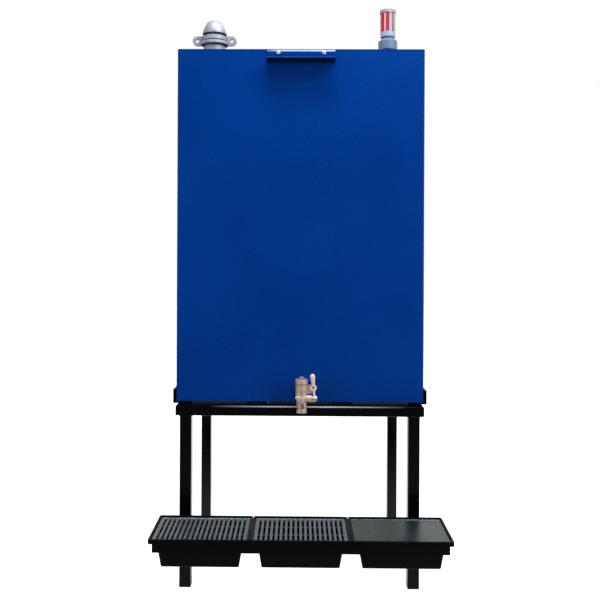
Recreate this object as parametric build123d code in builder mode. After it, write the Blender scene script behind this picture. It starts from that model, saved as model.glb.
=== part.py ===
from build123d import *
import os
from math import atan2, cos, degrees, radians, sin

# Gravity feed oil tank on a steel stand, with three loose drip trays in front.
# Millimetres, +Z up, front towards -Y, origin on the floor under the middle of the whole object.

# Stand
leg_span = 1022.0
stand_depth = 731.0
leg_size = 50.0
leg_wall = 3.0
leg_corner = 5.0
foot_thickness = 6.0
foot_plug_height = 22.0
foot_plug_wall = 2.5
foot_plug_clearance = 0.4
foot_edge = 2.0
frame_underside = 731.0
rail_width = 66.0
rail_height = 43.0
rail_wall = 3.0
rail_corner = 5.0
rail_overhang = 18.0

# Cradle that carries the tank
cradle_flange = 80.0
cradle_upstand = 60.0
cradle_thickness = 8.0
cradle_root = 8.0
cradle_toe = 4.0
cradle_side_gap = 6.0
bearer_width = 90.0
bearer_centre = 182.0

# Tank
tank_width = 1068.0
tank_depth = 680.0
tank_height = 1525.0
tank_setback = 50.0
tank_plate = 3.0
tank_corner = 6.0

# Fittings on the roof
fitting_spread = 386.0
fitting_setback = 100.0
socket_radius = 50.0
socket_bore = 42.0
socket_height = 32.0
breather_pipe_radius = 18.5
breather_pipe_bore = 13.0
breather_pipe_height = 21.0

# Filler
filler_foot_radius = 47.0
filler_foot_height = 4.0
filler_neck_radius = 44.0
filler_neck_collar = 3.0
filler_flange_radius = 61.0
filler_ring_radius = 53.0
filler_groove_radius = 44.0
filler_neck_height = 11.0
filler_flange_thickness = 12.5
filler_groove_height = 6.0
filler_ring_height = 18.0
filler_bore_radius = 36.0
ear_offset = 77.0
ear_radius = 21.5
ear_hole_radius = 7.0
ear_thickness = 12.0
ear_rise = 13.0
ear_overlap = 1.0
cap_neck_radius = 41.0
cap_rim_radius = 54.0
cap_crown_radius = 37.0
cap_top_radius = 22.0
cap_height = 68.5
cap_rim_lift = 11.0
cap_rim_height = 5.0
cap_crown_drop = 11.0
cap_wall = 6.0

# Breather
canister_radius = 33.5
canister_wall = 2.5
canister_height = 104.0
canister_neck_height = 9.0
canister_neck_radius = 30.5
collar_radius = 42.5
collar_height = 50.0
collar_chamfer = 11.0
lid_radius = 35.5
lid_height = 16.0
lid_edge = 4.0
lid_slot_width = 8.0
lid_slot_depth = 5.0

# Shelf bracket near the top of the front panel
bracket_length = 294.0
bracket_upstand = 55.0
bracket_reach = 84.0
bracket_thickness = 4.0
bracket_root = 5.0
bracket_edge = 2.5
bracket_drop = 4.0

# Tap
tap_offset = 8.0
tap_height_above_floor_plate = 69.0
boss_radius = 41.0
boss_thickness = 12.0
boss_chamfer = 2.0
tap_throw = 80.0
inlet_radius = 17.0
inlet_bore = 10.0
inlet_hex_across = 42.0
inlet_hex_length = 14.0
barrel_radius = 26.0
barrel_above_inlet = 23.0
barrel_below_inlet = 21.5
bonnet_height = 21.0
bonnet_edge = 4.0
bonnet_groove = 3.0
bonnet_nut_radius = 9.0
bonnet_nut_height = 10.0
spindle_drop = 30.0
spindle_forward = 18.0
spindle_radius = 4.5
spindle_clearance = 0.08
core_radius = 21.0
housing_radius = 10.0
housing_left = 18.0
housing_right = 42.0
spindle_nut_radius = 6.0
spindle_nut_length = 6.0
spout_length = 56.0
spout_top_radius = 22.0
spout_waist_radius = 20.0
spout_lip_radius = 21.5
spout_bore = 11.0
spout_bore_depth = 40.0
spout_flare = 14.0
spout_lip = 6.0
bump_radius = 6.0
bump_drop = 9.0
bump_reach = 27.0
pocket_offset = 4.4
pocket_drop = 27.0
pocket_width = 12.0
pocket_height = 19.0
pocket_wall = 3.5
lug_reach = 41.0
lug_low = 15.0
lug_high = 16.0
lug_clearance = 8.5
lug_thickness = 7.0
ear_lug_radius = 10.0
lug_hole_radius = 4.0
arm_height = 9.0
arm_thickness = 12.0
arm_slant = 8.0

# Tap lever
lever_offset = 53.5
lever_hub_radius = 7.0
lever_hub_width = 10.6
lever_ring_height = 42.0
lever_ring_radius = 13.0
lever_ring_hole = 7.5
lever_thickness = 6.0
lever_length = 100.0
lever_bulb_radius = 10.5
lever_stem_radius = 4.6
lever_neck_radius = 6.8
lever_neck_height = 15.0
lever_lean = 5.2
lever_gap = 1.5

# Drip trays and their holder
tray_count = 3
tray_pitch = 399.0
tray_gap = 1.0
tray_shift = 5.5
tray_depth = 254.0
tray_back_gap = 2.0
tray_top = 309.0
tray_height = 127.0
tray_wall = 3.0
tray_rim = 10.0
tray_recess = 15.0
tray_inset = 24.5
tray_draft = 20.0
tray_rim_corner = 10.0
tray_body_corner = 24.0
tray_lip_radius = 3.4
tub_edge_radius = 8.0
holder_width = 6.0
holder_height = 39.0
holder_edge = 1.0
holder_inset = 15.0
cross_bar_width = 20.0
cross_bar_wall = 2.0
cross_bar_corner = 3.0
grate_clearance = 1.0
grate_height = 9.0
grate_border = 9.0
grate_pitch = 19.6
grate_slot_width = 8.6
grate_rounding = 3.2
grate_rib_width = 4.0
grate_rib_height = 3.0
mesh_thickness = 9.0
mesh_edge = 2.0

# Places worked out from the sizes above
tray_reach = tray_depth + tray_back_gap
tray_skirt = tray_recess + tray_wall
front_y = (tray_reach - stand_depth) / 2
back_y = front_y + stand_depth
middle_y = (front_y + back_y) / 2
leg_x = (leg_span - leg_size) / 2
frame_half = leg_span / 2 + rail_overhang
frame_top = frame_underside + rail_height
tank_front = front_y + tank_setback
tank_back = tank_front + tank_depth
tank_middle = (tank_front + tank_back) / 2
tank_bottom = frame_top + cradle_thickness
tank_top = tank_bottom + tank_height
tank_half = tank_width / 2
fitting_y = tank_front + fitting_setback
tap_y = tank_front - tap_throw
tap_z = tank_bottom + tap_height_above_floor_plate
spindle_y = tap_y - spindle_forward
spindle_z = tap_z - spindle_drop

os.makedirs("parts", exist_ok=True)


def write(piece, name):
    """Label one finished piece and write its STEP file."""
    piece.part.label = name
    export_step(piece.part, f"parts/{name}.step")


def box_bar(length, width, height, wall, corner, place):
    """Box section bar along place's x, its outer face on place's y = 0, its ends mitred at 45 degrees."""
    section = Plane(origin=place.origin, x_dir=place.y_dir, z_dir=place.x_dir)
    with BuildPart() as bar:
        with BuildSketch(section):
            with Locations((width / 2, height / 2)):
                RectangleRounded(width, height, corner)
                RectangleRounded(width - 2 * wall, height - 2 * wall, corner - wall / 2, mode=Mode.SUBTRACT)
        extrude(amount=length / 2, both=True)
        for end in (-1, 1):
            tip = place.origin + place.x_dir * (end * length / 2)
            split(bisect_by=Plane(origin=tip, z_dir=place.x_dir * end + place.y_dir), keep=Keep.BOTTOM)
    return bar


# Legs and their foot plugs
for end_name, leg_y in (("front", front_y + leg_size / 2), ("rear", back_y - leg_size / 2)):
    for side_name, side in (("left", -1), ("right", 1)):
        with BuildPart() as leg:
            with BuildSketch(Plane.XY.offset(foot_thickness)):
                with Locations((side * leg_x, leg_y)):
                    RectangleRounded(leg_size, leg_size, leg_corner)
                    RectangleRounded(
                        leg_size - 2 * leg_wall,
                        leg_size - 2 * leg_wall,
                        leg_corner - leg_wall / 2,
                        mode=Mode.SUBTRACT,
                    )
            extrude(amount=frame_underside - foot_thickness)
        write(leg, f"{end_name}_{side_name}_leg")

        plug_size = leg_size - 2 * leg_wall - foot_plug_clearance
        with BuildPart() as foot:
            with BuildSketch():
                with Locations((side * leg_x, leg_y)):
                    RectangleRounded(leg_size, leg_size, leg_corner)
            extrude(amount=foot_thickness)
            fillet(foot.faces().sort_by(Axis.Z)[0].edges(), foot_edge)
            with BuildSketch(Plane.XY.offset(foot_thickness)):
                with Locations((side * leg_x, leg_y)):
                    RectangleRounded(plug_size, plug_size, leg_corner - leg_wall / 2)
                    Rectangle(
                        plug_size - 2 * foot_plug_wall,
                        plug_size - 2 * foot_plug_wall,
                        mode=Mode.SUBTRACT,
                    )
            extrude(amount=foot_plug_height)
        write(foot, f"{end_name}_{side_name}_foot")

# Top frame, four box section rails mitred at the corners
frame_rails = (
    ("front", (0, front_y), (1, 0, 0), 2 * frame_half),
    ("rear", (0, back_y), (-1, 0, 0), 2 * frame_half),
    ("left", (-frame_half, middle_y), (0, -1, 0), stand_depth),
    ("right", (frame_half, middle_y), (0, 1, 0), stand_depth),
)
for rail_name, (rail_x, rail_y), along, rail_length in frame_rails:
    rail_place = Plane(origin=(rail_x, rail_y, frame_underside), x_dir=along, z_dir=(0, 0, 1))
    rail = box_bar(rail_length, rail_width, rail_height, rail_wall, rail_corner, rail_place)
    write(rail, f"{rail_name}_rail")

# Cradle angles, upstand outside the tank, flange under it
cradle_outer = tank_half + cradle_side_gap + cradle_thickness
with BuildPart() as cradle_right:
    with BuildSketch(Plane.XZ.offset(-tank_back)) as cradle_section:
        with BuildLine():
            Polyline(
                (cradle_outer, frame_top),
                (cradle_outer, frame_top + cradle_upstand),
                (cradle_outer - cradle_thickness, frame_top + cradle_upstand),
                (cradle_outer - cradle_thickness, tank_bottom),
                (cradle_outer - cradle_flange, tank_bottom),
                (cradle_outer - cradle_flange, frame_top),
                close=True,
            )
        make_face()
        inside = (cradle_outer - cradle_thickness, tank_bottom)
        fillet(cradle_section.vertices().sort_by_distance((*inside, 0))[0], cradle_root / 2)
        upstand_toe = (cradle_outer - cradle_thickness, frame_top + cradle_upstand)
        fillet(cradle_section.vertices().sort_by_distance((*upstand_toe, 0))[0], cradle_toe)
    extrude(amount=tank_depth)
write(cradle_right, "cradle_angle_right")

with BuildPart() as cradle_left:
    mirror(cradle_right.part, about=Plane.YZ)
write(cradle_left, "cradle_angle_left")

for side_name, side in (("left", -1), ("right", 1)):
    with BuildPart() as bearer:
        with Locations((side * bearer_centre, tank_middle, frame_top)):
            Box(bearer_width, tank_depth, cradle_thickness, align=(Align.CENTER, Align.CENTER, Align.MIN))
    write(bearer, f"bearer_{side_name}")

# Tank walls: the front and back sheets turn the corners, and the side sheets butt against them
wall_bottom = tank_bottom + tank_plate
wall_height = tank_height - 2 * tank_plate


def tank_wall(x, y, zone_width, zone_depth):
    """The stretch of the tank's folded outline that lies in one zone of its plan."""
    with BuildPart() as wall:
        with BuildSketch(Plane.XY.offset(wall_bottom)):
            with Locations((0, tank_middle)):
                RectangleRounded(tank_width, tank_depth, tank_corner)
                RectangleRounded(
                    tank_width - 2 * tank_plate,
                    tank_depth - 2 * tank_plate,
                    tank_corner - tank_plate,
                    mode=Mode.SUBTRACT,
                )
            with Locations((x, y)):
                Rectangle(zone_width, zone_depth, mode=Mode.INTERSECT)
        extrude(amount=wall_height)
    return wall


tap_face = Plane(origin=(tap_offset, tank_front, tap_z), x_dir=(1, 0, 0), z_dir=(0, -1, 0))
with BuildPart() as front_panel:
    add(tank_wall(0, tank_front + tank_corner / 2, tank_width, tank_corner).part)
    with Locations(tap_face):
        Hole(inlet_bore, depth=tank_corner)
write(front_panel, "tank_front_panel")

write(tank_wall(0, tank_back - tank_corner / 2, tank_width, tank_corner), "tank_back_panel")

side_depth = tank_depth - 2 * tank_corner
side_x = tank_half - tank_corner / 2
write(tank_wall(-side_x, tank_middle, tank_corner, side_depth), "tank_left_panel")
write(tank_wall(side_x, tank_middle, tank_corner, side_depth), "tank_right_panel")

with BuildPart() as tank_floor:
    with BuildSketch(Plane.XY.offset(tank_bottom)):
        with Locations((0, tank_middle)):
            RectangleRounded(tank_width, tank_depth, tank_corner)
    extrude(amount=tank_plate)
write(tank_floor, "tank_floor")

with BuildPart() as tank_roof:
    with BuildSketch(Plane.XY.offset(tank_top - tank_plate)):
        with Locations((0, tank_middle)):
            RectangleRounded(tank_width, tank_depth, tank_corner)
        with Locations((-fitting_spread, fitting_y)):
            Circle(socket_bore, mode=Mode.SUBTRACT)
        with Locations((fitting_spread, fitting_y)):
            Circle(breather_pipe_bore, mode=Mode.SUBTRACT)
    extrude(amount=tank_plate)
write(tank_roof, "tank_roof")


def pipe(x, outer_radius, bore_radius, height):
    """An upright pipe on the tank's roof."""
    with BuildPart() as tube:
        with BuildSketch(Plane.XY.offset(tank_top)):
            with Locations((x, fitting_y)):
                Circle(outer_radius)
                Circle(bore_radius, mode=Mode.SUBTRACT)
        extrude(amount=height)
    return tube


# Filler: welded socket, cast neck with a flange and two lugs, and a domed cap
write(pipe(-fitting_spread, socket_radius, socket_bore, socket_height), "filler_socket")

filler_place = Plane(origin=(-fitting_spread, fitting_y, tank_top), x_dir=(1, 0, 0), z_dir=(0, -1, 0))
filler_axis = Axis((-fitting_spread, fitting_y, 0), (0, 0, 1))
foot_high = socket_height + filler_foot_height
flange_low = socket_height + filler_neck_height
flange_high = flange_low + filler_flange_thickness
ring_low = flange_high + filler_groove_height
ring_high = ring_low + filler_ring_height
ear_z = (flange_low + flange_high) / 2 + ear_rise
with BuildPart() as filler_neck:
    with BuildSketch(filler_place):
        with BuildLine():
            Polyline(
                (filler_bore_radius, socket_height),
                (filler_foot_radius, socket_height),
                (filler_foot_radius, foot_high),
                (filler_neck_radius, flange_low - filler_neck_collar),
                (filler_neck_radius, flange_low),
                (filler_flange_radius, flange_low),
                (filler_flange_radius, flange_high),
                (filler_groove_radius, flange_high),
                (filler_groove_radius, ring_low),
                (filler_ring_radius, ring_low),
                (filler_ring_radius, ring_high),
                (filler_bore_radius, ring_high),
                close=True,
            )
        make_face()
    revolve(axis=filler_axis)
    ear_reach = ear_offset - filler_neck_radius + ear_overlap
    with BuildSketch(filler_place):
        for side in (-1, 1):
            with Locations((side * ear_offset, ear_z)):
                Circle(ear_radius)
            with Locations((side * (ear_offset - ear_reach / 2), ear_z)):
                Rectangle(ear_reach, 2 * ear_radius)
            with Locations((side * ear_offset, ear_z)):
                Circle(ear_hole_radius, mode=Mode.SUBTRACT)
    extrude(amount=ear_thickness / 2, both=True)
write(filler_neck, "filler_neck")

cap_low = ring_high
cap_rim = cap_low + cap_rim_lift
cap_top = cap_low + cap_height
cap_inside = cap_neck_radius - cap_wall
with BuildPart() as filler_cap:
    with BuildSketch(filler_place):
        with BuildLine():
            Polyline(
                (0, cap_top - cap_wall),
                (cap_inside / 2, cap_top - cap_wall),
                (cap_inside, cap_rim + cap_wall),
                (cap_inside, cap_low),
                (cap_neck_radius, cap_low),
                (cap_neck_radius, cap_rim),
                (cap_rim_radius, cap_rim),
                (cap_rim_radius, cap_rim + cap_rim_height),
            )
            Spline(
                (cap_rim_radius, cap_rim + cap_rim_height),
                (cap_crown_radius, cap_top - cap_crown_drop),
                (cap_top_radius, cap_top),
                tangents=((-0.15, 1), (-1, 0.05)),
            )
            Polyline((cap_top_radius, cap_top), (0, cap_top), (0, cap_top - cap_wall))
        make_face()
    revolve(axis=filler_axis)
write(filler_cap, "filler_cap")

# Breather: pipe, moulded collar, canister and slotted lid
write(
    pipe(fitting_spread, breather_pipe_radius, breather_pipe_bore, breather_pipe_height),
    "breather_pipe",
)

breather_place = Plane(origin=(fitting_spread, fitting_y, tank_top), x_dir=(1, 0, 0), z_dir=(0, -1, 0))
breather_axis = Axis((fitting_spread, fitting_y, 0), (0, 0, 1))
collar_low = breather_pipe_height
collar_high = collar_low + collar_height
collar_bore = canister_neck_radius - canister_wall
with BuildPart() as breather_collar:
    with BuildSketch(breather_place):
        with BuildLine():
            Polyline(
                (breather_pipe_bore, collar_low),
                (collar_radius, collar_low),
                (collar_radius, collar_high - collar_chamfer),
                (collar_radius - collar_chamfer, collar_high),
                (collar_bore, collar_high),
                (collar_bore, collar_low + collar_chamfer),
                (breather_pipe_bore, collar_low + collar_chamfer),
                close=True,
            )
        make_face()
    revolve(axis=breather_axis)
write(breather_collar, "breather_collar")

canister_low = collar_high + canister_neck_height
canister_high = canister_low + canister_height
with BuildPart() as breather_canister:
    with BuildSketch(breather_place):
        with BuildLine():
            Polyline(
                (collar_bore, collar_high),
                (canister_neck_radius, collar_high),
                (canister_neck_radius, canister_low),
                (canister_radius, canister_low),
                (canister_radius, canister_high),
                (canister_radius - canister_wall, canister_high),
                (canister_radius - canister_wall, canister_low + canister_wall),
                (collar_bore, canister_low + canister_wall),
                close=True,
            )
        make_face()
    revolve(axis=breather_axis)
write(breather_canister, "breather_canister")

with BuildPart() as breather_lid:
    with BuildSketch(Plane.XY.offset(tank_top + canister_high)):
        with Locations((fitting_spread, fitting_y)):
            Circle(lid_radius)
    extrude(amount=lid_height)
    fillet(breather_lid.edges().group_by(Axis.Z)[-1], lid_edge)
    with Locations((fitting_spread, fitting_y, tank_top + canister_high + lid_height)):
        Box(
            lid_slot_width,
            2 * lid_radius,
            lid_slot_depth,
            align=(Align.CENTER, Align.CENTER, Align.MAX),
            mode=Mode.SUBTRACT,
        )
write(breather_lid, "breather_lid")

# Shelf bracket: an angle under the top edge of the front panel, its foot reaching forward
bracket_top = tank_top - bracket_drop
bracket_low = bracket_top - bracket_upstand
with BuildPart() as shelf_bracket:
    with BuildSketch(Plane.YZ.offset(-bracket_length / 2)) as bracket_section:
        with BuildLine():
            Polyline(
                (tank_front, bracket_top),
                (tank_front, bracket_low),
                (tank_front - bracket_reach, bracket_low),
                (tank_front - bracket_reach, bracket_low + bracket_thickness),
                (tank_front - bracket_thickness, bracket_low + bracket_thickness),
                (tank_front - bracket_thickness, bracket_top),
                close=True,
            )
        make_face()
        bracket_heel = (tank_front - bracket_thickness, bracket_low + bracket_thickness)
        fillet(bracket_section.vertices().sort_by_distance((*bracket_heel, 0))[0], bracket_root)
        bracket_toe = (tank_front - bracket_reach, bracket_low + bracket_thickness)
        fillet(bracket_section.vertices().sort_by_distance((*bracket_toe, 0))[0], bracket_edge)
    extrude(amount=bracket_length)
write(shelf_bracket, "shelf_bracket")

# Tap: boss on the tank, cast body, bonnet, and a spindle that the lever turns
with BuildPart() as tap_boss:
    with BuildSketch(tap_face):
        Circle(boss_radius)
        Circle(inlet_bore, mode=Mode.SUBTRACT)
    extrude(amount=boss_thickness)
    chamfer(tap_boss.faces().sort_by(Axis.Y)[0].outer_wire().edges(), boss_chamfer)
write(tap_boss, "tap_boss")

barrel_top = tap_z + barrel_above_inlet
barrel_low = tap_z - barrel_below_inlet
spout_top = spindle_z - housing_radius
spout_low = spout_top - spout_length
lever_x = tap_offset + lever_offset
ring_x = lever_x - lever_ring_height * sin(radians(lever_lean))
ring_z = spindle_z + lever_ring_height * cos(radians(lever_lean))
lug_y = spindle_y + lever_thickness / 2 + lug_clearance + lug_thickness
arm_low = spout_top - arm_height
spindle_place = Plane(origin=(tap_offset, spindle_y, spindle_z), x_dir=(0, 1, 0), z_dir=(1, 0, 0))
tap_axis = Axis((tap_offset, tap_y, 0), (0, 0, 1))
with BuildPart() as tap_body:
    with BuildSketch(tap_face.offset(boss_thickness)):
        RegularPolygon(inlet_hex_across / 2, 6, major_radius=False)
    extrude(amount=inlet_hex_length)
    with BuildSketch(tap_face.offset(boss_thickness)):
        Circle(inlet_radius)
    extrude(amount=tap_throw - boss_thickness)
    with BuildSketch(Plane.XY.offset(barrel_low)):
        with Locations((tap_offset, tap_y)):
            Circle(barrel_radius)
    extrude(amount=barrel_top - barrel_low)
    with BuildSketch(spindle_place.offset(-housing_left)):
        Circle(housing_radius)
    extrude(amount=housing_left + housing_right)
    with BuildSketch(Plane(origin=(tap_offset, tap_y, 0), x_dir=(1, 0, 0), z_dir=(0, -1, 0))):
        with BuildLine():
            Polyline(
                (0, barrel_low),
                (core_radius, barrel_low),
                (core_radius, spout_top),
                (spout_top_radius, spout_top),
                (spout_waist_radius, spout_low + spout_flare),
                (spout_lip_radius, spout_low + spout_lip),
                (spout_lip_radius, spout_low),
                (0, spout_low),
                close=True,
            )
        make_face()
    revolve(axis=tap_axis)
    with BuildSketch(Plane.XY.offset(spout_low)):
        with Locations((tap_offset, tap_y)):
            Circle(spout_bore)
    extrude(amount=spout_bore_depth, mode=Mode.SUBTRACT)
    with BuildSketch(Plane.XZ.offset(-(tap_y + spindle_y) / 2)):
        with BuildLine():
            Polyline(
                (tap_offset, spout_top),
                (lever_x + lever_hub_width, spout_top),
                (lever_x + lever_hub_width - arm_slant, arm_low),
                (tap_offset, arm_low),
                close=True,
            )
        make_face()
    extrude(amount=arm_thickness / 2, both=True)
    with BuildSketch(Plane(origin=(tap_offset, tap_y, spout_top - bump_drop), x_dir=(1, 0, 0), z_dir=(0, -1, 0))):
        Circle(bump_radius)
    extrude(amount=bump_reach)
    with BuildSketch(Plane.XZ.offset(pocket_wall - tap_y + spout_bore)):
        with Locations((tap_offset + pocket_offset, spout_top - pocket_drop)):
            SlotOverall(pocket_height, pocket_width, rotation=90)
    extrude(amount=spout_top_radius - spout_bore, mode=Mode.SUBTRACT)
    with BuildSketch(Plane.XZ.offset(-lug_y)):
        with Locations((tap_offset, tap_z)):
            Rectangle(lug_reach, lug_low + lug_high, align=(Align.MIN, Align.CENTER))
        with BuildLine():
            Polyline(
                (tap_offset, ring_z + ear_lug_radius),
                (ring_x, ring_z + ear_lug_radius),
                (ring_x, ring_z - ear_lug_radius),
                (tap_offset, ring_z - ear_lug_radius),
                close=True,
            )
        make_face()
        with Locations((ring_x, ring_z)):
            Circle(ear_lug_radius)
            Circle(lug_hole_radius, mode=Mode.SUBTRACT)
    extrude(amount=lug_thickness)
    with BuildSketch(spindle_place.offset(-housing_left)):
        Circle(spindle_radius + spindle_clearance)
    extrude(amount=housing_left + housing_right, mode=Mode.SUBTRACT)
write(tap_body, "tap_body")

with BuildPart() as tap_bonnet:
    with BuildSketch(Plane.XY.offset(barrel_top)):
        with Locations((tap_offset, tap_y)):
            Circle(barrel_radius - bonnet_groove)
    extrude(amount=bonnet_groove)
    with BuildSketch(Plane.XY.offset(barrel_top + bonnet_groove)):
        with Locations((tap_offset, tap_y)):
            Circle(barrel_radius)
    extrude(amount=bonnet_height - bonnet_groove)
    fillet(tap_bonnet.edges().group_by(Axis.Z)[-1], bonnet_edge)
    with BuildSketch(Plane.XY.offset(barrel_top + bonnet_height)):
        with Locations((tap_offset, tap_y)):
            RegularPolygon(bonnet_nut_radius, 6)
    extrude(amount=bonnet_nut_height)
write(tap_bonnet, "tap_bonnet")

spindle_end = lever_offset + lever_hub_width / 2
with BuildPart() as tap_spindle:
    with BuildSketch(spindle_place.offset(-housing_left - spindle_nut_length - lever_gap)):
        Circle(spindle_nut_radius)
    extrude(amount=spindle_nut_length)
    with BuildSketch(spindle_place.offset(-housing_left - lever_gap)):
        Circle(spindle_radius)
    extrude(amount=housing_left + lever_gap + spindle_end)
    with BuildSketch(spindle_place.offset(housing_right + lever_gap)):
        Circle(spindle_nut_radius)
    extrude(amount=lever_offset - lever_hub_width / 2 - housing_right - lever_gap)
    with BuildSketch(spindle_place.offset(spindle_end)):
        Circle(spindle_nut_radius)
    extrude(amount=spindle_nut_length)
write(tap_spindle, "tap_spindle")

# Lever: hub, stem, drilled ring and bulb, leaning a little towards the tap
lever_across = Vector(1, 0, 0).rotate(Axis.Y, -lever_lean)
lever_face = Plane(origin=(lever_x, spindle_y, spindle_z), x_dir=lever_across, z_dir=(0, -1, 0))
neck_high = lever_ring_height + lever_neck_height
bulb_low = lever_length - lever_bulb_radius
with BuildPart() as tap_lever:
    with BuildSketch(spindle_place.offset(lever_offset - lever_hub_width / 2)):
        Circle(lever_hub_radius)
    extrude(amount=lever_hub_width)
    with BuildSketch(lever_face):
        with Locations((0, lever_ring_height)):
            Circle(lever_ring_radius)
    extrude(amount=lever_thickness / 2, both=True)
    with BuildSketch(lever_face):
        with BuildLine():
            Polyline(
                (0, 0),
                (lever_stem_radius, 0),
                (lever_stem_radius, lever_ring_height),
                (lever_neck_radius, lever_ring_height),
                (lever_neck_radius, neck_high),
                (lever_bulb_radius, bulb_low),
            )
            RadiusArc((lever_bulb_radius, bulb_low), (0, lever_length), -lever_bulb_radius)
            Line((0, lever_length), (0, 0))
        make_face()
    revolve(axis=Axis(lever_face.origin, lever_face.y_dir))
    with BuildSketch(lever_face):
        with Locations((0, lever_ring_height)):
            Circle(lever_ring_hole)
    extrude(amount=lever_bulb_radius, both=True, mode=Mode.SUBTRACT)
    with BuildSketch(spindle_place.offset(lever_offset - lever_hub_width / 2)):
        Circle(spindle_radius + spindle_clearance)
    extrude(amount=lever_hub_width, mode=Mode.SUBTRACT)
write(tap_lever, "tap_lever")

# Tray holder: flat bars on edge in front of the front legs, with a box bar under each join
holder_half = tray_count * tray_pitch / 2 - holder_inset
holder_front = front_y - tray_reach + holder_inset - tray_gap
holder_depth = front_y - holder_front
holder_top = tray_top - tray_skirt
holder_low = holder_top - holder_height
holder_middle = (holder_front + front_y) / 2


def holder_bar(x, y, length, width):
    """A flat bar on edge, its long upright edges eased."""
    with BuildPart() as bar:
        with BuildSketch(Plane.XY.offset(holder_low)):
            with Locations((x + tray_shift, y)):
                RectangleRounded(length, width, holder_edge)
        extrude(amount=holder_height)
    return bar


side_bar_x = holder_half - holder_width / 2
side_bar_length = holder_depth - 2 * holder_width
write(holder_bar(0, holder_front + holder_width / 2, 2 * holder_half, holder_width), "tray_holder_front_bar")
write(holder_bar(0, front_y - holder_width / 2, 2 * holder_half, holder_width), "tray_holder_rear_bar")
write(holder_bar(-side_bar_x, holder_middle, holder_width, side_bar_length), "tray_holder_left_bar")
write(holder_bar(side_bar_x, holder_middle, holder_width, side_bar_length), "tray_holder_right_bar")

with BuildPart() as holder_cross_bars:
    with BuildSketch(Plane.XZ.offset(holder_width - front_y)):
        with Locations((tray_shift, holder_low + holder_height / 2)):
            with GridLocations(tray_pitch, 0, tray_count - 1, 1):
                RectangleRounded(cross_bar_width, holder_height, cross_bar_corner)
                RectangleRounded(
                    cross_bar_width - 2 * cross_bar_wall,
                    holder_height - 2 * cross_bar_wall,
                    cross_bar_corner - cross_bar_wall / 2,
                    mode=Mode.SUBTRACT,
                )
    extrude(amount=side_bar_length)
write(holder_cross_bars, "tray_holder_cross_bars")

# Trays: a rim with a skirt outside, a recess for the grate, and a tapered tub below
tray_width = tray_pitch - tray_gap
tray_y = front_y - tray_back_gap - tray_depth / 2
recess_width = tray_width - 2 * tray_rim
recess_depth = tray_depth - 2 * tray_rim
tub_width = tray_width - 2 * tray_inset
tub_depth = tray_depth - 2 * tray_inset
tub_top = tray_top - tray_recess
tub_height = tray_height - tray_recess
tub_taper = degrees(atan2(tray_draft, tub_height))
tray_names = ("left", "middle", "right")
tray_places = [(tray_shift + tray_pitch * (i - (tray_count - 1) / 2), tray_y) for i in range(tray_count)]
for tray_name, tray_place in zip(tray_names, tray_places):
    with BuildPart() as tray:
        with BuildSketch(Plane.XY.offset(tray_top)):
            with Locations(tray_place):
                RectangleRounded(tray_width, tray_depth, tray_rim_corner)
        extrude(amount=-tray_skirt)
        with BuildSketch(Plane.XY.offset(tray_top - tray_wall)):
            with Locations(tray_place):
                RectangleRounded(
                    tray_width - 2 * tray_wall,
                    tray_depth - 2 * tray_wall,
                    tray_rim_corner - tray_wall,
                )
        extrude(amount=-tray_skirt, mode=Mode.SUBTRACT)
        with BuildSketch(Plane.XY.offset(tray_top)):
            with Locations(tray_place):
                RectangleRounded(
                    recess_width + 2 * tray_wall,
                    recess_depth + 2 * tray_wall,
                    tray_rim_corner,
                )
        extrude(amount=-tray_skirt)
        with BuildSketch(Plane.XY.offset(tub_top)):
            with Locations(tray_place):
                RectangleRounded(tub_width, tub_depth, tray_body_corner)
        extrude(amount=-tub_height, taper=tub_taper)
        with BuildSketch(Plane.XY.offset(tray_top)):
            with Locations(tray_place):
                RectangleRounded(recess_width, recess_depth, tray_rim_corner - tray_wall)
        extrude(amount=-tray_recess, mode=Mode.SUBTRACT)
        with BuildSketch(Plane.XY.offset(tub_top)):
            with Locations(tray_place):
                RectangleRounded(
                    tub_width - 2 * tray_wall,
                    tub_depth - 2 * tray_wall,
                    tray_body_corner - tray_wall,
                )
        extrude(amount=tray_wall - tub_height, taper=tub_taper, mode=Mode.SUBTRACT)
        rim_face = tray.faces().sort_by(Axis.Z)[-1]
        fillet(rim_face.edges(), tray_lip_radius)
        fillet(tray.faces().sort_by(Axis.Z)[0].edges(), tub_edge_radius)
    write(tray, f"drip_tray_{tray_name}")

# Grates: bars that run from front to back in a border, on two ribs below
grate_width = recess_width - 2 * grate_clearance
grate_depth = recess_depth - 2 * grate_clearance
grate_slot_length = grate_depth - 2 * grate_border
grate_slots = int((grate_width - 2 * grate_border) / grate_pitch)
for tray_name, tray_place in zip(tray_names[:2], tray_places):
    with BuildPart() as grate:
        with BuildSketch(Plane.XY.offset(tub_top)):
            with Locations(tray_place):
                RectangleRounded(grate_width, grate_depth, tray_rim_corner - tray_wall - grate_clearance)
                with GridLocations(grate_pitch, 0, grate_slots, 1):
                    SlotOverall(grate_slot_length, grate_slot_width, rotation=90, mode=Mode.SUBTRACT)
        extrude(amount=grate_height)
        fillet(grate.faces().sort_by(Axis.Z)[-1].edges(), grate_rounding)
        with BuildSketch(Plane.XY.offset(tub_top)):
            with Locations(tray_place):
                with GridLocations(0, grate_depth / 3, 1, 2):
                    Rectangle(grate_width - 2 * grate_border, grate_rib_width)
        extrude(amount=grate_rib_height)
    write(grate, f"grate_{tray_name}")

with BuildPart() as mesh_panel:
    with BuildSketch(Plane.XY.offset(tub_top)):
        with Locations(tray_places[-1]):
            RectangleRounded(grate_width, grate_depth, tray_rim_corner - tray_wall - grate_clearance)
    extrude(amount=mesh_thickness)
    fillet(mesh_panel.edges().group_by(Axis.Z)[-1], mesh_edge)
write(mesh_panel, "mesh_panel_right")
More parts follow.
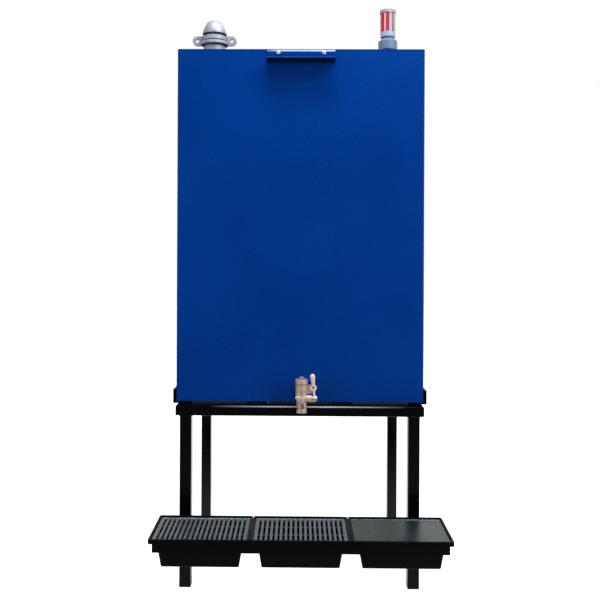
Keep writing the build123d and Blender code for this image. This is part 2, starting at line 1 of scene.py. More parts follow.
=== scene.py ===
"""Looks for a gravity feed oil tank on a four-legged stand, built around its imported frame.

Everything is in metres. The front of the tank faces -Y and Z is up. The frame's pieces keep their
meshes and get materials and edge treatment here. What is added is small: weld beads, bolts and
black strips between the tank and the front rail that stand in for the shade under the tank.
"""

import math

import bmesh
import bpy
import numpy as np
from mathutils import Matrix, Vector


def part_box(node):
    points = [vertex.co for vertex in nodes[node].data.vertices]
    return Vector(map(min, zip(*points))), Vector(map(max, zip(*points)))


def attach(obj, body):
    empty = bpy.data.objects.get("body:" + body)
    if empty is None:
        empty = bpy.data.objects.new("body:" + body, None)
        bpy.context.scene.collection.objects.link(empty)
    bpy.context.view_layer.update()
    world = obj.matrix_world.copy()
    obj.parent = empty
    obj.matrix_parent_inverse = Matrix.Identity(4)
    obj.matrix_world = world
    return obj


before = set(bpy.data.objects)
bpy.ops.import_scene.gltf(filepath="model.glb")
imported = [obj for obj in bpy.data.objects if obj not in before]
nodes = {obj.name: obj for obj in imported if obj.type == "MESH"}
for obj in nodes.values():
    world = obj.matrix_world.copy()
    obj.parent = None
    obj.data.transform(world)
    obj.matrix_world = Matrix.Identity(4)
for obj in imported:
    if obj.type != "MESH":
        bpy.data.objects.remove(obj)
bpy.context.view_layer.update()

MM = 0.001
BODY = "tank_and_stand"
X_AXIS, Y_AXIS, Z_AXIS = (1, 0, 0), (0, 1, 0), (0, 0, 1)

# The stretch of values that a noise mostly fills
NOISE_RANGE = (0.3, 0.7)

# How strongly each painted or moulded surface mirrors
ENAMEL_SPECULAR = 0.1
GLOSS_SPECULAR = 0.14
TUB_SPECULAR = 0.08
GRATE_SPECULAR = 0.3
MESH_SPECULAR = 0.26


# Colour and nodes

def linear(hex_colour):
    """Turns an sRGB hex colour into the linear RGBA that a shader reads."""
    value = np.array([int(hex_colour[i:i + 2], 16) for i in (0, 2, 4)]) / 255.0
    low = value / 12.92
    high = ((value + 0.055) / 1.055) ** 2.4
    return (*np.where(value <= 0.04045, low, high).tolist(), 1.0)


def add(tree, kind, links=None, **settings):
    """Adds a node: settings are its own properties, links give each input a value or an output."""
    node = tree.nodes.new(kind)
    for name, value in settings.items():
        setattr(node, name, value)
    for socket, value in (links or {}).items():
        if isinstance(value, bpy.types.NodeSocket):
            tree.links.new(value, node.inputs[socket])
        else:
            node.inputs[socket].default_value = value
    return node


def new_material(name, **sockets):
    """A material with one Principled BSDF, whose plain sockets are set by name."""
    material = bpy.data.materials.new(name)
    material.use_nodes = True
    tree = material.node_tree
    shader = tree.nodes["Principled BSDF"]
    for socket, value in sockets.items():
        shader.inputs[socket.replace("_", " ")].default_value = value
    return material, tree, shader


def maths(tree, operation, *values):
    """The result of one sum, such as ADD or SINE, on one value or two."""
    return add(tree, "ShaderNodeMath", dict(enumerate(values)), operation=operation).outputs[0]


def axes(tree, vector):
    """The X, Y and Z of a vector, by name."""
    return add(tree, "ShaderNodeSeparateXYZ", {"Vector": vector}).outputs


def place(tree, centre=(0, 0, 0), scale=(1, 1, 1)):
    """Object coordinates measured from a centre, in metres, stretched by scale."""
    coordinates = add(tree, "ShaderNodeTexCoord")
    shifted = add(tree, "ShaderNodeMapping", {
        "Vector": coordinates.outputs["Object"],
        "Location": [-centre[i] * scale[i] for i in range(3)],
        "Scale": scale,
    })
    return shifted.outputs["Vector"]


def per_metre(size_mm):
    """The texture scale at which one feature of a noise is about size_mm across."""
    return 1000.0 / size_mm


def noise(tree, vector, size_mm, detail=2.0, roughness=0.5):
    """Soft random blotches about size_mm across, from 0 to 1."""
    node = add(tree, "ShaderNodeTexNoise", {
        "Vector": vector,
        "Scale": per_metre(size_mm),
        "Detail": detail,
        "Roughness": roughness,
    })
    return node.outputs["Fac"]


def blend_colours(tree, factor, first, second):
    """The first colour where the factor is 0 and the second where it is 1. Each is an sRGB hex colour
    or a node's output."""
    mix = add(tree, "ShaderNodeMix", data_type="RGBA")
    tree.links.new(factor, mix.inputs["Factor"])
    for socket, colour in ((6, first), (7, second)):
        if isinstance(colour, bpy.types.NodeSocket):
            tree.links.new(colour, mix.inputs[socket])
        else:
            mix.inputs[socket].default_value = linear(colour)
    return mix.outputs[2]


def spread(tree, value, low, high, out_low=0.0, out_high=1.0):
    """Maps the stretch from low to high onto out_low to out_high, held at the ends."""
    node = add(tree, "ShaderNodeMapRange", {
        "Value": value,
        "From Min": low,
        "From Max": high,
        "To Min": out_low,
        "To Max": out_high,
    })
    return node.outputs["Result"]


def band(tree, value, low, high, outside, inside):
    """The inside colour where the value lies between low and high, and the outside colour elsewhere."""
    above = maths(tree, "GREATER_THAN", value, low)
    below = maths(tree, "LESS_THAN", value, high)
    return blend_colours(tree, maths(tree, "MULTIPLY", above, below), outside, inside)


def set_colour(tree, shader, colour):
    """Gives the surface the colour that a node puts out."""
    tree.links.new(colour, shader.inputs["Base Color"])


def vary_roughness(tree, shader, pattern, smooth, rough):
    """Lets the roughness follow a noise, from smooth where it is low to rough where it is high."""
    tree.links.new(spread(tree, pattern, *NOISE_RANGE, smooth, rough), shader.inputs["Roughness"])


def bump(tree, shader, height, depth_mm):
    """Raises the surface by depth_mm where the height is 1."""
    node = add(tree, "ShaderNodeBump", {
        "Height": height,
        "Distance": depth_mm * MM,
        "Strength": 1.0,
    })
    tree.links.new(node.outputs["Normal"], shader.inputs["Normal"])


# Materials

def painted_hollow_shade(tree, clean, reach_mm, shade_colour):
    """The clean colour, with painted shade in grooves and corners narrower than about reach_mm."""
    hollow = add(tree, "ShaderNodeAmbientOcclusion", {"Distance": reach_mm * MM}, samples=8)
    return blend_colours(tree, spread(tree, hollow.outputs["AO"], 0.35, 0.85), shade_colour, clean)


def tank_enamel():
    """Alkyd enamel, sprayed over steel sheet: a deep blue with a soft gloss, orange peel too fine to
    see by itself, and the slow waviness of thin sheet that bends what it reflects."""
    material, tree, shader = new_material(
        "sprayed_blue_enamel", Roughness=0.26, Specular_IOR_Level=ENAMEL_SPECULAR)
    where = place(tree)
    cloud = noise(tree, where, 420)
    paint = blend_colours(tree, spread(tree, cloud, *NOISE_RANGE), "003280", "01398C")
    mottle = noise(tree, where, 9, detail=3.0)
    set_colour(tree, shader, blend_colours(tree, spread(tree, mottle, 0.4, 0.75, 0, 0.35), paint, "023C94"))
    peel = noise(tree, where, 5, detail=1.0)
    vary_roughness(tree, shader, peel, 0.23, 0.31)
    wave = noise(tree, where, 260, detail=1.0)
    peel_share = 0.05
    bump(tree, shader, maths(tree, "ADD", wave, maths(tree, "MULTIPLY", peel, peel_share)), 1.2)
    return material


def bracket_enamel():
    """The tank's enamel on the bracket, with painted shade that turns its underside near black, and a
    painted highlight along the top edge of its back plate, stronger to the right."""
    material, tree, shader = new_material(
        "sprayed_blue_enamel_painted_shade_and_highlight", Roughness=0.28, Specular_IOR_Level=ENAMEL_SPECULAR)
    low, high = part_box("shelf_bracket")
    where = place(tree)
    split = axes(tree, where)
    down = axes(tree, add(tree, "ShaderNodeNewGeometry").outputs["Normal"])["Z"]
    paint = blend_colours(tree, noise(tree, where, 9, detail=3.0), "00307F", "023C94")
    # Painted shade: faces turned downwards are drawn near black
    under = blend_colours(tree, spread(tree, down, -0.8, -0.4, 1, 0), paint, "0C1E30")
    # Painted highlight: a pale band along the top edge of the back plate, fading towards the left
    edge = spread(tree, split["Z"], high[2] - 8 * MM, high[2] - 5 * MM)
    across = spread(tree, split["X"], low[0], low[0] + 60 * MM, 0.3, 1)
    set_colour(tree, shader, blend_colours(tree, maths(tree, "MULTIPLY", edge, across), under, "C6DAF0"))
    return material


def stand_gloss():
    """Black gloss enamel, brushed over steel tube: sharp highlights on the rounded corners, and
    greyer patches where dust has settled."""
    material, tree, shader = new_material(
        "black_gloss_enamel", Roughness=0.15, Specular_IOR_Level=GLOSS_SPECULAR)
    where = place(tree)
    dust = noise(tree, where, 70, detail=4.0)
    set_colour(tree, shader, blend_colours(tree, spread(tree, dust, 0.5, 0.8, 0, 0.4), "010201", "060706"))
    runs = noise(tree, place(tree, scale=(1, 1, 0.3)), 18)
    vary_roughness(tree, shader, runs, 0.12, 0.2)
    bump(tree, shader, noise(tree, where, 7), 0.06)
    return material


def rail_gloss():
    """The same gloss enamel on the front rail, whose upper front corner carries a pale glint. The real
    glint is too narrow to render, so it is drawn as a line about 5 mm high that fades to both ends."""
    material, tree, shader = new_material(
        "black_gloss_enamel_with_glint", Roughness=0.2, Specular_IOR_Level=GLOSS_SPECULAR)
    low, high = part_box("front_rail")
    split = axes(tree, place(tree))
    glint_middle = 0.04
    face = spread(tree, split["Y"], low[1] + 1 * MM, low[1] + 7 * MM, 1, 0)
    line = spread(tree, split["Z"], high[2] - 6.5 * MM, high[2] - 3.5 * MM)
    reach = maths(tree, "ABSOLUTE", maths(tree, "SUBTRACT", split["X"], glint_middle))
    ends = spread(tree, reach, 0.08, 0.42, 0.95, 0)
    glint = maths(tree, "MULTIPLY", maths(tree, "MULTIPLY", face, line), ends)
    set_colour(tree, shader, blend_colours(tree, glint, "010201", "B4BECE"))
    return material


def moulded_black():
    """Rotationally moulded polyethylene: black with a waxy sheen and a fine mould grain, drawn at
    3 mm because the real grain is too fine to show."""
    material, tree, shader = new_material(
        "moulded_black_polyethylene", Roughness=0.42, IOR=1.51, Specular_IOR_Level=TUB_SPECULAR)
    where = place(tree)
    set_colour(tree, shader, blend_colours(tree, noise(tree, where, 60), "020402", "060907"))
    grain = noise(tree, where, 3, detail=3.0)
    vary_roughness(tree, shader, grain, 0.38, 0.52)
    bump(tree, shader, grain, 0.1)
    return material


def painted_border_highlights(tree, where, plain, name):
    """The plain colour, with a painted highlight in a pale line along the front border of a panel and in
    pale specks along its rear border."""
    low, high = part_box(name)
    y = axes(tree, where)["Y"]
    front = spread(tree, y, low[1] + 7 * MM, low[1] + 12 * MM, 1, 0)
    fronted = blend_colours(tree, front, plain, "7A8794")
    specks = spread(tree, noise(tree, where, 5, detail=3.0), 0.42, 0.6)
    strip = spread(tree, y, high[1] - 16 * MM, high[1] - 8 * MM)
    return blend_colours(tree, maths(tree, "MULTIPLY", specks, strip), fronted, "A9B6CC")


def grate_slate():
    """Injection moulded polypropylene, filled slate grey: soft sheen on rounded bars, paler where feet
    and cans have rubbed the tops."""
    material, tree, shader = new_material(
        "moulded_slate_polypropylene", Roughness=0.36, IOR=1.49, Specular_IOR_Level=GRATE_SPECULAR)
    where = place(tree)
    plastic = blend_colours(tree, noise(tree, where, 45), "4A5358", "60696F")
    rub = noise(tree, place(tree, scale=(1, 0.4, 1)), 16, detail=4.0)
    rubbed = blend_colours(tree, spread(tree, rub, 0.55, 0.8, 0, 0.5), plastic, "666C78")
    # Painted highlights along the front and rear borders
    set_colour(tree, shader, painted_border_highlights(tree, where, rubbed, "grate_left"))
    grain = noise(tree, where, 3, detail=3.0)
    vary_roughness(tree, shader, grain, 0.3, 0.46)
    bump(tree, shader, grain, 0.08)
    return material


def fine_mesh():
    """Slate polypropylene moulded as a close mesh: a level sheet whose threads cross 5 mm apart. Its
    ribs are too low to see alone and only break up what the sheet reflects."""
    material, tree, shader = new_material(
        "moulded_mesh_polypropylene", Roughness=0.3, IOR=1.49, Specular_IOR_Level=MESH_SPECULAR)
    where = place(tree)
    cloud = noise(tree, where, 30, detail=4.0)
    plastic = blend_colours(tree, spread(tree, cloud, *NOISE_RANGE), "20292B", "2C3638")
    # Painted highlights along the front and rear borders
    set_colour(tree, shader, painted_border_highlights(tree, where, plastic, "mesh_panel_right"))
    split = axes(tree, where)
    thread_turn = math.tau * per_metre(5)
    threads = [maths(tree, "SINE", maths(tree, "MULTIPLY", split[axis], thread_turn)) for axis in ("X", "Y")]
    scuffs = noise(tree, where, 4, detail=3.0)
    tree.links.new(spread(tree, scuffs, 0.35, 0.7, 0.24, 0.42), shader.inputs["Roughness"])
    bump(tree, shader, maths(tree, "MAXIMUM", *threads), 0.12)
    return material


def foot_rubber():
    """Moulded rubbery plastic of the tube plugs, also used for the black strips that stand in for the
    shade under the tank: matt black.
    """
    material, tree, shader = new_material(
        "matt_black_plug_plastic", Roughness=0.6, Base_Color=linear("101110"))
    bump(tree, shader, noise(tree, place(tree), 3, detail=3.0), 0.1)
    return material


def painted_lit_patches(tree, where, metal):
    """The metal, with painted light making it paler on the tap's cross arm and on the housing of its
    spindle.
    """
    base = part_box("tap_body")[0][2]
    middle = (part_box("tap_bonnet")[0][0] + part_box("tap_bonnet")[1][0]) / 2
    split = axes(tree, where)
    above = spread(tree, split["Z"], base + 50 * MM, base + 55 * MM)
    below = spread(tree, split["Z"], base + 66 * MM, base + 72 * MM, 1, 0)
    right = spread(tree, split["X"], middle + 24 * MM, middle + 27 * MM)
    upper = spread(tree, split["Z"], base + 66 * MM, base + 70 * MM)
    arm = maths(tree, "MULTIPLY", above, below)
    housing = maths(tree, "MULTIPLY", right, upper)
    return blend_colours(tree, maths(tree, "MAXIMUM", arm, housing), metal, "F6DFD4")


def cast_brass(name, pale, dark, metallic):
    """Sand cast brass, tumbled and lacquered: pinkish tan, painted shade in its hollows, painted light
    on the cross arm and spindle housing, grainy skin.
    """
    material, tree, shader = new_material(name, Metallic=metallic, Roughness=0.5)
    where = place(tree)
    cloud = noise(tree, where, 14, detail=3.0)
    clean = blend_colours(tree, spread(tree, cloud, 0.35, 0.65), dark, pale)
    # Painted shade darkens the brass in its hollows
    metal = painted_hollow_shade(tree, clean, 7, "4A4030")
    # Painted light: the cross arm and spindle housing are drawn paler
    set_colour(tree, shader, painted_lit_patches(tree, where, metal))
    grain = noise(tree, where, 1.6, detail=3.0)
    vary_roughness(tree, shader, grain, 0.44, 0.6)
    bump(tree, shader, grain, 0.12)
    return material


def turned_aluminium(centre):
    """Die-cast aluminium, turned on a lathe and weathered: a matt cool grey with fine rings about its
    axis, and painted shade darkening its grooves."""
    material, tree, shader = new_material("turned_aluminium", Metallic=0.6, Roughness=0.55)
    where = place(tree, centre)
    split = axes(tree, where)
    flat = add(tree, "ShaderNodeCombineXYZ", {"X": split["X"], "Y": split["Y"]})
    radius = add(tree, "ShaderNodeVectorMath", {0: flat.outputs[0]}, operation="LENGTH")
    rings = add(tree, "ShaderNodeCombineXYZ", {"X": radius.outputs["Value"], "Z": split["Z"]})
    lines = noise(tree, rings.outputs[0], 1.5, detail=3.0, roughness=0.7)
    cloud = noise(tree, where, 25)
    metal = blend_colours(tree, spread(tree, lines, *NOISE_RANGE), "9BA3AA", "C6CBD6")
    aged = blend_colours(tree, spread(tree, cloud, 0.4, 0.75, 0, 0.5), metal, "747A8C")
    # Painted shade darkens the aluminium in its grooves and corners
    set_colour(tree, shader, painted_hollow_shade(tree, aged, 14, "16222C"))
    vary_roughness(tree, shader, lines, 0.54, 0.68)
    bump(tree, shader, lines, 0.1)
    return material


def zinc_plate():
    """Bright zinc plate on the bolts: a cool grey metal, faintly mottled."""
    material, tree, shader = new_material("bright_zinc_plate", Metallic=0.5, Roughness=0.3)
    set_colour(tree, shader, blend_colours(tree, noise(tree, place(tree), 4), "D3E0EA", "EAF3F8"))
    return material


def satin_moulding(name, roughness, blotch_mm, first, second):
    """Moulded plastic with a satin skin: two near colours in soft blotches, and a fine grain."""
    material, tree, shader = new_material(name, Roughness=roughness)
    where = place(tree)
    set_colour(tree, shader, blend_colours(tree, noise(tree, where, blotch_mm), first, second))
    bump(tree, shader, noise(tree, where, 2), 0.05)
    return material


def wrapped_canister(low, high):
    """Lacquered tin can with a plain wrapped panel: red with one pale stripe, a white edge, a thin
    dark red line, then beige. A bare white band lies under the panel, and the neck is dark."""
    material, tree, shader = new_material("wrapped_tin_canister", Roughness=0.35)
    where = place(tree, ((low[0] + high[0]) / 2, (low[1] + high[1]) / 2, low[2]))
    split = axes(tree, where)
    turn = maths(tree, "ARCTAN2", split["X"], maths(tree, "MULTIPLY", split["Y"], -1.0))
    around = maths(tree, "DEGREES", turn)
    panel = blend_colours(tree, noise(tree, where, 12, detail=3.0), "A1968A", "B5AA9F")
    # From and to in degrees round from the front, rightwards, and the colour between
    for start, end, colour in (
            (30.0, 39.0, "7A1A22"),
            (4.3, 28.5, "A9A4C4"),
            (-150.0, 4.3, "B4303F"),
            (-34.0, -22.0, "E2BCC5")):
        panel = band(tree, around, start, end, panel, colour)
    neck_top, panel_foot, past_the_can = 6.0 * MM, 30 * MM, 1.0
    can = band(tree, split["Z"], panel_foot, past_the_can, "A6AEC8", panel)
    set_colour(tree, shader, band(tree, split["Z"], -past_the_can, neck_top, can, "1E2638"))
    scuffs = noise(tree, where, 8, detail=3.0)
    vary_roughness(tree, shader, scuffs, 0.28, 0.45)
    bump(tree, shader, scuffs, 0.1)
    return material


# Dressing the frame's own pieces

def dress(names, material, edge_mm):
    """Gives each named node the material, and rounds its sharp edges by edge_mm for a highlight."""
    for name in names:
        piece = nodes[name]
        piece.data.materials.clear()
        piece.data.materials.append(material)
        weld = piece.modifiers.new("weld", "WELD")
        weld.merge_threshold = 0.01 * MM
        bevel = piece.modifiers.new("edge", "BEVEL")
        bevel.width = edge_mm * MM
        bevel.segments = 2
        bevel.limit_method = "ANGLE"
        bevel.angle_limit = math.radians(40)
        bevel.harden_normals = False
        normals = piece.modifiers.new("normals", "WEIGHTED_NORMAL")
        normals.keep_sharp = False


def named(*words):
    """The frame's nodes whose names start or end with one of the words."""
    return [name for name in sorted(nodes) if name.startswith(words) or name.endswith(words)]


def dress_frame():
    """Hands every node its finish. The front rail is dressed with the stand and then again with its
    own paint, so its edges are rounded twice."""
    filler_low, filler_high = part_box("filler_neck")
    filler_axis = [(filler_low[i] + filler_high[i]) / 2 for i in range(3)]
    dress(named("tank_"), tank_enamel(), 1.0)
    dress(["shelf_bracket"], bracket_enamel(), 0.8)
    dress(["breather_pipe", "tap_boss"], bpy.data.materials["sprayed_blue_enamel"], 0.8)
    dress(named("_leg", "_rail", "cradle_", "bearer_", "tray_holder_"), stand_gloss(), 0.6)
    dress(["front_rail"], rail_gloss(), 0.6)
    dress(named("drip_tray_"), moulded_black(), 1.2)
    dress(named("grate_"), grate_slate(), 0.4)
    dress(named("mesh_panel_"), fine_mesh(), 0.6)
    dress(named("_foot"), foot_rubber(), 0.6)
    rough_brass = cast_brass("cast_brass", pale="D8BEB2", dark="B29A8E", metallic=0.5)
    dress(["tap_body", "tap_bonnet", "tap_spindle"], rough_brass, 0.5)
    # The lever's brass is drawn near white: painted light standing in for its bright reflections
    lever_brass_painted_light = cast_brass("lever_brass_painted_light", pale="FCF2F0", dark="F4E4E0", metallic=0.15)
    dress(["tap_lever"], lever_brass_painted_light, 0.8)
    dress(["filler_cap", "filler_neck", "filler_socket"], turned_aluminium(filler_axis), 0.6)
    collar = satin_moulding("moulded_grey_blue_nylon", 0.4, 20, "5F7992", "6D88A2")
    dress(["breather_collar"], collar, 0.6)
    lid = satin_moulding("moulded_off_white_cap", 0.45, 22, "9E9496", "B0A7A9")
    dress(["breather_lid"], lid, 0.5)
    dress(["breather_canister"], wrapped_canister(*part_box("breather_canister")), 0.5)


dress_frame()


# Added pieces

# Millimetres between the ripples of a weld and between the points along one, and the radii of the
# welds on rails and legs, on small bars, and round the fittings
WELD_PITCH = 4.5
WELD_STEP = 1.0
RAIL_WELD = 2.6
BAR_WELD = 2.4
FITTING_WELD = 3.0


def swept(path, normal, radius, sides=8, closed=False):
    """A round bar carried along a path: ring i is path[i] + radius[i] * (cos a * side + sin a * normal),
    where side is the path's direction crossed with the normal and a goes round once."""
    ahead = np.roll(path, -1, axis=0) - np.roll(path, 1, axis=0)
    if not closed:
        ahead[0], ahead[-1] = path[1] - path[0], path[-1] - path[-2]
    side = np.cross(ahead, normal)
    side /= np.linalg.norm(side, axis=1, keepdims=True)
    angle = np.linspace(0, math.tau, sides, endpoint=False)
    rings = (path[:, None]
             + radius[:, None, None] * (np.cos(angle)[None, :, None] * side[:, None]
                                        + np.sin(angle)[None, :, None] * np.asarray(normal)[None, None]))
    return rings.reshape(-1, 3), ring_faces(len(path), sides, closed, caps=not closed)


def ring_faces(rings, sides, closed, caps):
    """Quads between neighbouring rings of points, with a face over each open end."""
    start = np.arange(rings if closed else rings - 1)[:, None] * sides
    here = np.arange(sides)[None]
    beside = (here + 1) % sides
    above = (start + sides) % (rings * sides)
    quads = np.stack([start + here, start + beside, above + beside, above + here], axis=-1).reshape(-1, 4)
    faces = quads.tolist()
    if caps:
        faces.append(list(range(sides))[::-1])
        faces.append(list(range((rings - 1) * sides, rings * sides)))
    return faces


def make_piece(name, shapes, material):
    """Joins several (points, faces) into one piece that rides on the tank and stand."""
    points = np.concatenate([shape[0] for shape in shapes])
    faces = []
    offset = 0
    for shape_points, shape_faces in shapes:
        faces += [[corner + offset for corner in face] for face in shape_faces]
        offset += len(shape_points)
    mesh = bpy.data.meshes.new(name)
    mesh.from_pydata(points.tolist(), [], faces)
    mesh.update()
    mesh.shade_smooth()
    clean = bmesh.new()
    clean.from_mesh(mesh)
    bmesh.ops.recalc_face_normals(clean, faces=clean.faces)
    clean.to_mesh(mesh)
    clean.free()
    mesh.materials.append(material)
    piece = bpy.data.objects.new(name, mesh)
    bpy.context.scene.collection.objects.link(piece)
    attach(piece, BODY)
    return piece


def straight(start, end, step_mm):
    """Points along a straight line, about step_mm apart."""
    start, end = np.array(start, float), np.array(end, float)
    count = max(2, int(np.linalg.norm(end - start) / (step_mm * MM)) + 1)
    return start + np.linspace(0, 1, count)[:, None] * (end - start)


def rounded_loop(low, high, corner, z, step_mm):
    """A level rectangle from low to high with round corners: each side's line, then a quarter circle
    of the corner's radius, round to the start again."""
    spots = ((high[0] - corner, low[1] + corner, -90), (high[0] - corner, high[1] - corner, 0),
             (low[0] + corner, high[1] - corner, 90), (low[0] + corner, low[1] + corner, 180))
    arc_points = 7
    runs = []
    last = np.array([low[0] + corner, low[1], z])
    for x, y, start in spots:
        angle = np.radians(start + np.linspace(0, 90, arc_points))
        level = np.full(arc_points, z)
        arc = np.stack([x + corner * np.cos(angle), y + corner * np.sin(angle), level], axis=1)
        runs += [straight(last, arc[0], step_mm)[1:-1], arc]
        last = arc[-1]
    return np.concatenate(runs)


def circle(centre, radius, across, along, count):
    """A circle about centre in the plane of two directions."""
    angle = np.linspace(0, math.tau, count, endpoint=False)[:, None]
    spoke = np.cos(angle) * np.array(across, float) + np.sin(angle) * np.array(along, float)
    return np.array(centre) + radius * spoke


def bead(path, normal, radius_mm, closed=False):
    """A run of weld: a round bar whose radius swells by a sixth with each ripple, as |sin| of the
    distance run over the ripple's pitch."""
    run = np.concatenate([[0.0], np.cumsum(np.linalg.norm(np.diff(path, axis=0), axis=1))])
    ripple = np.abs(np.sin(math.pi * run / (WELD_PITCH * MM)))
    return swept(path, normal, radius_mm * MM * (0.86 + 0.14 * ripple), closed=closed)


def hex_bolt(centre, across_mm, head_mm, washer_mm):
    """A bolt head and its washer on the front of the bracket, facing -Y. Each ring's distance from the
    axis is the lesser of the hexagon's, half the flats over the cosine of the angle to the nearest
    flat, and the chamfer's, which shrinks towards the top of the head."""
    points_round = 48
    angle = np.linspace(0, math.tau, points_round, endpoint=False)
    flat = across_mm / 2 / np.cos((angle + math.pi / 6) % (math.pi / 3) - math.pi / 6)
    washer = np.full(points_round, washer_mm / 2)
    washer_bevel = np.full(points_round, washer_mm / 2 - 0.3)
    rings = [(0.0, washer), (1.3, washer), (1.6, washer_bevel), (1.6, flat)]
    for height, chamfer in ((head_mm + 0.6, across_mm), (head_mm + 1.2, across_mm * 0.54),
                            (head_mm + 1.6, across_mm * 0.45)):
        rings.append((height, np.minimum(flat, chamfer)))
    points = np.concatenate([
        np.stack([reach * np.cos(angle), np.full(points_round, -height), reach * np.sin(angle)], axis=1)
        for height, reach in rings]) * MM
    return points + np.array(centre), ring_faces(len(rings), points_round, closed=False, caps=True)


def stand_welds():
    """Weld runs where the legs meet the rails, under the cradle angles, at the bearers' ends and where
    the tray holder meets the legs."""
    runs = []
    leg_corner = 5 * MM
    for name in named("_leg"):
        low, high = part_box(name)
        loop = rounded_loop(low, high, leg_corner, high[2], WELD_STEP)
        runs.append(bead(loop, Z_AXIS, RAIL_WELD, closed=True))
    rail_low, rail_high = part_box("front_rail")
    tacks, tack_margin, half_tack = 5, 50 * MM, 20 * MM
    for name, side in (("cradle_angle_left", 0), ("cradle_angle_right", 1)):
        low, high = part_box(name)
        x = (rail_low, rail_high)[side][0]
        for middle in np.linspace(low[1] + tack_margin, high[1] - tack_margin, tacks):
            line = straight((x, middle - half_tack, low[2]), (x, middle + half_tack, low[2]), WELD_STEP)
            runs.append(bead(line, Z_AXIS, RAIL_WELD))
    for name in named("bearer_"):
        low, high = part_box(name)
        line = straight((low[0] + 6 * MM, low[1], low[2]), (high[0] - 6 * MM, low[1], low[2]), WELD_STEP)
        runs.append(bead(line, Z_AXIS, BAR_WELD))
    holder_low, holder_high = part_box("tray_holder_rear_bar")
    foot, head = holder_low[2] + 2 * MM, holder_high[2] - 2 * MM
    for name in named("front_left_leg", "front_right_leg"):
        low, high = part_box(name)
        y = low[1] + 1 * MM
        for x in (low[0] + 1.5 * MM, high[0] - 1.5 * MM):
            runs.append(bead(straight((x, y, foot), (x, y, head), WELD_STEP), X_AXIS, BAR_WELD))
    make_piece("stand_weld_runs", runs, bpy.data.materials["black_gloss_enamel"])


def tank_welds():
    """Ground seams round the roof and the floor and down the corners of the tank, and the fillet welds
    round its fittings."""
    low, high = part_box("tank_roof")
    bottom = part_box("tank_floor")[1][2]
    corner, level_seam, upright_seam = 6 * MM, 1.0 * MM, 0.9 * MM
    runs = []
    for z in (low[2], bottom):
        loop = rounded_loop(low, high, corner, z, 400)
        runs.append(swept(loop, Z_AXIS, np.full(len(loop), level_seam), closed=True))
    for x in (low[0], high[0]):
        for y in (low[1] + corner, high[1] - corner):
            line = straight((x, y, bottom), (x, y, low[2]), 300)
            runs.append(swept(line, Y_AXIS, np.full(len(line), upright_seam)))
    for name in ("filler_socket", "breather_pipe"):
        box_low, box_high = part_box(name)
        radius = (box_high[0] - box_low[0]) / 2
        centre = ((box_low[0] + box_high[0]) / 2, (box_low[1] + box_high[1]) / 2, high[2])
        ring = circle(centre, radius, X_AXIS, Y_AXIS, int(radius / MM * 6))
        runs.append(bead(ring, Z_AXIS, FITTING_WELD, closed=True))
    box_low, box_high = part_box("tap_boss")
    centre = ((box_low[0] + box_high[0]) / 2, box_high[1], (box_low[2] + box_high[2]) / 2)
    boss_weld_reach = 41 * MM
    ring = circle(centre, boss_weld_reach, X_AXIS, Z_AXIS, 250)
    runs.append(bead(ring, Y_AXIS, FITTING_WELD, closed=True))
    make_piece("tank_weld_runs", runs, bpy.data.materials["sprayed_blue_enamel"])


def slab(low, high):
    """A block from low to high: its corners are every choice of a low or a high value on each axis."""
    choice = np.stack(np.meshgrid([0, 1], [0, 1], [0, 1], indexing="ij"), axis=-1).reshape(-1, 3)
    points = np.where(choice == 0, np.array(low), np.array(high))
    return points, [(0, 1, 3, 2), (4, 6, 7, 5), (0, 4, 5, 1), (2, 3, 7, 6), (0, 2, 6, 4), (1, 5, 7, 3)]


def shade_strips_under_tank():
    """Black strips laid on the front rail beside and between the bearers, just short of the tank's
    floor. They stand in for the shade under the tank, so that only a thin line of light shows there."""
    rail_low, rail_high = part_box("front_rail")
    tank_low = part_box("tank_front_panel")[0]
    rail_end, beside_bearer, set_back = 16 * MM, 0.5 * MM, 0.5 * MM
    short_of_tank, strip_depth = 2.9 * MM, 12 * MM
    edges = [rail_low[0] + rail_end]
    for name in ("bearer_left", "bearer_right"):
        edges += [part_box(name)[0][0] - beside_bearer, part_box(name)[1][0] + beside_bearer]
    edges.append(rail_high[0] - rail_end)
    front, top = tank_low[1] + set_back, tank_low[2] - short_of_tank
    runs = [slab((left, front, rail_high[2]), (right, front + strip_depth, top))
            for left, right in zip(edges[0::2], edges[1::2])]
    piece = make_piece("shade_strips_under_tank", runs, bpy.data.materials["matt_black_plug_plastic"])
    piece.data.shade_flat()


def bracket_bolts():
    """Two zinc plated M8 bolts with washers that hold the bracket, 197 mm apart."""
    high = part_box("shelf_bracket")[1]
    face, bolt_height = high[1] - 4 * MM, high[2] - 12.5 * MM
    bolts = [hex_bolt((x * MM, face, bolt_height), across_mm=13, head_mm=5.3, washer_mm=17)
             for x in (-98.5, 98.5)]
    make_piece("bracket_bolts", bolts, zinc_plate())


stand_welds()
tank_welds()
shade_strips_under_tank()
bracket_bolts()


# Studio

def lamp(name, place_at, aim, size, power):
    """A soft white rectangular lamp at place_at, turned to aim."""
    light = bpy.data.lights.new(name, "AREA")
    light.shape = "RECTANGLE"
    light.size, light.size_y = size
    light.energy = power
    holder = bpy.data.objects.new(name, light)
    bpy.context.scene.collection.objects.link(holder)
    direction = np.array(aim) - np.array(place_at)
    yaw = math.atan2(direction[0], direction[1])
    pitch = math.atan2(direction[2], math.hypot(direction[0], direction[1]))
    holder.location = place_at
    holder.rotation_euler = (math.pi / 2 + pitch, 0, -yaw)


def white_for(tree, path, behind):
    """1 for the rays that see the white backdrop: those of the camera and those through glass, and
    the reflected ones as far as they end behind the object."""
    mirrored = maths(tree, "MULTIPLY", path.outputs["Is Glossy Ray"], behind)
    direct = maths(tree, "MAXIMUM", path.outputs["Is Camera Ray"], path.outputs["Is Transmission Ray"])
    return maths(tree, "MAXIMUM", direct, mirrored)


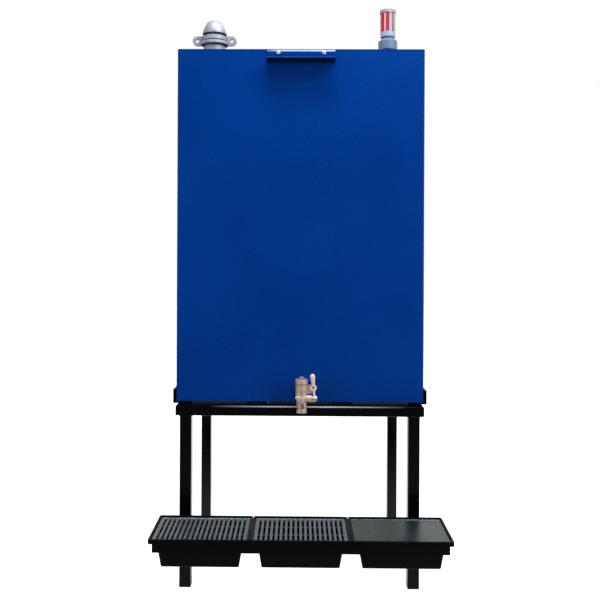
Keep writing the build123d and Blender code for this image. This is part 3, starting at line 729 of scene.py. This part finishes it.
def studio_floor():
    """A pale floor that keeps the object's shadow, lit up to white for the rays that see the backdrop."""
    half = 14.0
    corners = [(-half, -half, 0), (half, -half, 0), (half, half, 0), (-half, half, 0)]
    mesh = bpy.data.meshes.new("studio_floor")
    mesh.from_pydata(corners, [], [(0, 1, 2, 3)])
    floor = bpy.data.objects.new("studio_floor", mesh)
    bpy.context.scene.collection.objects.link(floor)
    material = bpy.data.materials.new("pale_studio_floor")
    material.use_nodes = True
    tree = material.node_tree
    tree.nodes.clear()
    path = add(tree, "ShaderNodeLightPath")
    pale = add(tree, "ShaderNodeBsdfDiffuse", {"Color": linear("F2F2F2")})
    grey = add(tree, "ShaderNodeBsdfDiffuse", {"Color": linear("9A9A9A")})
    glow = add(tree, "ShaderNodeEmission", {"Color": (1, 1, 1, 1), "Strength": 0.97})
    seen = add(tree, "ShaderNodeAddShader", {0: pale.outputs[0], 1: glow.outputs[0]})
    behind = spread(tree, axes(tree, place(tree))["Y"], -0.8, 0.2)
    white = white_for(tree, path, behind)
    look = add(tree, "ShaderNodeMixShader", {0: white, 1: grey.outputs[0], 2: seen.outputs[0]})
    add(tree, "ShaderNodeOutputMaterial", {"Surface": look.outputs[0]})
    mesh.materials.append(material)


def studio_world():
    """Dim grey light from all round, brighter behind the object than in front of it, which the camera
    sees as white."""
    world = bpy.data.worlds.new("studio")
    world.use_nodes = True
    tree = world.node_tree
    tree.nodes.clear()
    path = add(tree, "ShaderNodeLightPath")
    direction = axes(tree, add(tree, "ShaderNodeTexCoord").outputs["Generated"])
    level = spread(tree, direction["Y"], -0.6, 0.9, 0.06, 0.3)
    dim = add(tree, "ShaderNodeBackground", {"Color": (1, 1, 1, 1), "Strength": level})
    white = add(tree, "ShaderNodeBackground", {"Color": (1, 1, 1, 1), "Strength": 1.0})
    seen = white_for(tree, path, spread(tree, direction["Y"], -0.1, 0.3))
    mixed = add(tree, "ShaderNodeMixShader", {0: seen, 1: dim.outputs[0], 2: white.outputs[0]})
    add(tree, "ShaderNodeOutputWorld", {"Surface": mixed.outputs[0]})
    bpy.context.scene.world = world


def photograph_camera():
    """A 42 mm lens in front of the stand at 1.45 m, turned and rolled by less than a degree, with the
    frame shifted down and a little to the right."""
    data = bpy.data.cameras.new("camera")
    data.lens = 42
    data.sensor_width = 36
    data.sensor_fit = "HORIZONTAL"
    data.shift_x = 0.0158
    data.shift_y = -0.0878
    data.clip_end = 60
    camera = bpy.data.objects.new("camera", data)
    bpy.context.scene.collection.objects.link(camera)
    camera.location = (-0.0106, -3.2135, 1.45)
    camera.rotation_euler = (math.pi / 2, math.radians(-0.25), math.radians(0.6))
    bpy.context.scene.camera = camera


# Each lamp's name, place, aim, width and height in metres, and power in watts
LAMPS = (
    ("top_softbox", (0.1, -0.95, 4.15), (0.05, -0.3, 1.0), (1.4, 1.0), 52),
    ("key_softbox", (2.4, -2.6, 4.6), (0, 0, 1.9), (2.0, 1.6), 96),
    ("left_softbox", (-3.0, -2.4, 1.7), (0, 0, 1.4), (1.2, 2.4), 46),
    ("right_softbox", (3.0, -2.4, 1.7), (0, 0, 1.4), (1.2, 2.4), 52),
    ("back_softbox", (0.4, 4.0, 4.2), (0, 0.1, 1.3), (2.6, 1.6), 90),
)

studio_floor()
studio_world()
photograph_camera()
for values in LAMPS:
    lamp(*values)

bpy.context.scene.view_settings.view_transform = "Standard"
